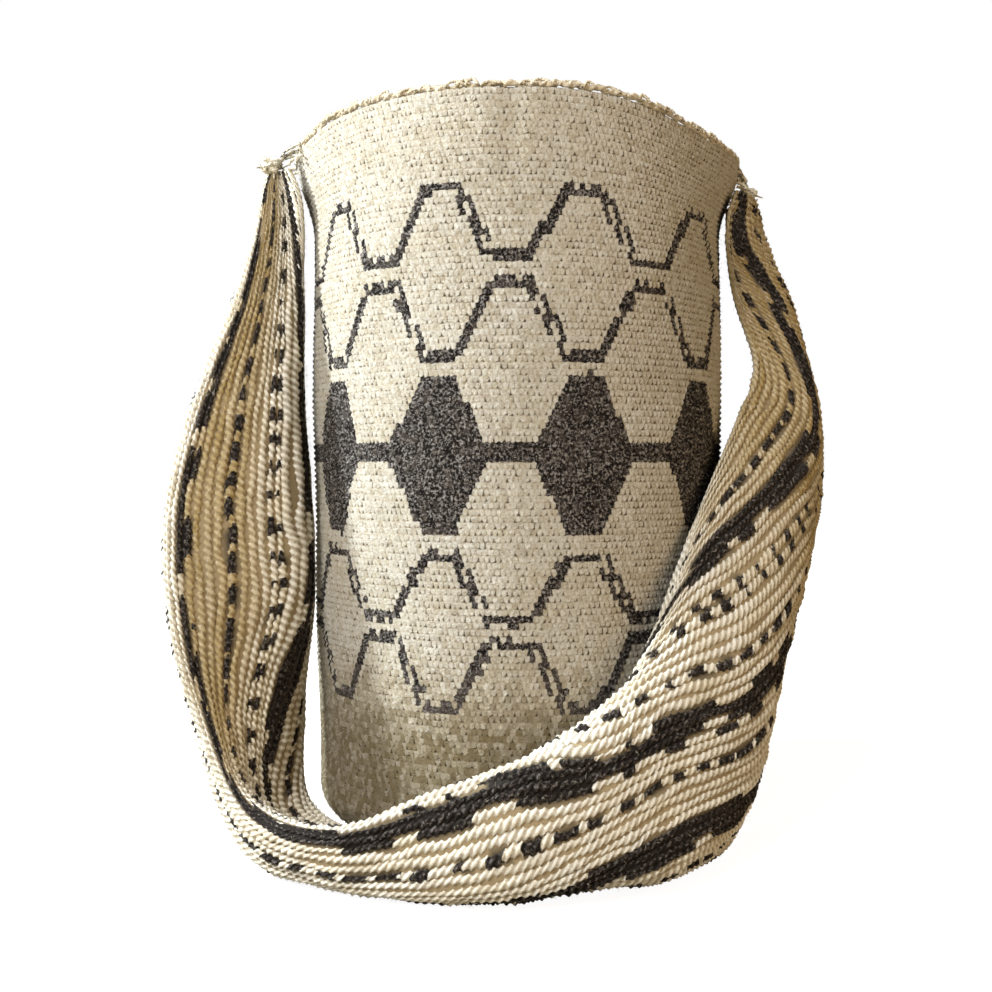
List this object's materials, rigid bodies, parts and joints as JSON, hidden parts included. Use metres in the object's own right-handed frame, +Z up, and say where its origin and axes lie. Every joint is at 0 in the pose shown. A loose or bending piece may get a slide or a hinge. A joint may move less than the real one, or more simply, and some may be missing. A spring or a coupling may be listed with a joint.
{
  "type": "mochila bag",
  "caption": "Round knotted wool shoulder bag with stepped hexagon pattern, open top, edging cord, and a wide ribbed carrying strap dropped forward and folded in front of the bag.",
  "frame": {"origin": "centre of the bag's flat round base, on the floor", "axes": "+Z up along the bag's axis to its mouth, -Y towards the front, where the strap lies, +X to the viewer's right"},
  "size_m": [0.2874, 0.2328, 0.308],
  "materials": {
    "bag_wool": "matte undyed cream and dark brown wool, knotted",
    "edging_wool": "matte beige wool cord",
    "strap_wool": "matte cream twisted wool cords with dark brown stripes",
    "sewing_yarn": "matte cream wool yarn"
  },
  "bodies": {
    "root": {"bag_body": "bag_wool", "rim_cord": "edging_wool", "strap": "strap_wool", "strap_stitch_left_1": "sewing_yarn", "strap_stitch_left_2": "sewing_yarn", "strap_stitch_left_3": "sewing_yarn", "strap_stitch_left_4": "sewing_yarn", "strap_stitch_right_1": "sewing_yarn", "strap_stitch_right_2": "sewing_yarn", "strap_stitch_right_3": "sewing_yarn", "strap_stitch_right_4": "sewing_yarn", "end_knot_left": "sewing_yarn", "end_knot_right": "sewing_yarn"}
  },
  "joints": []
}
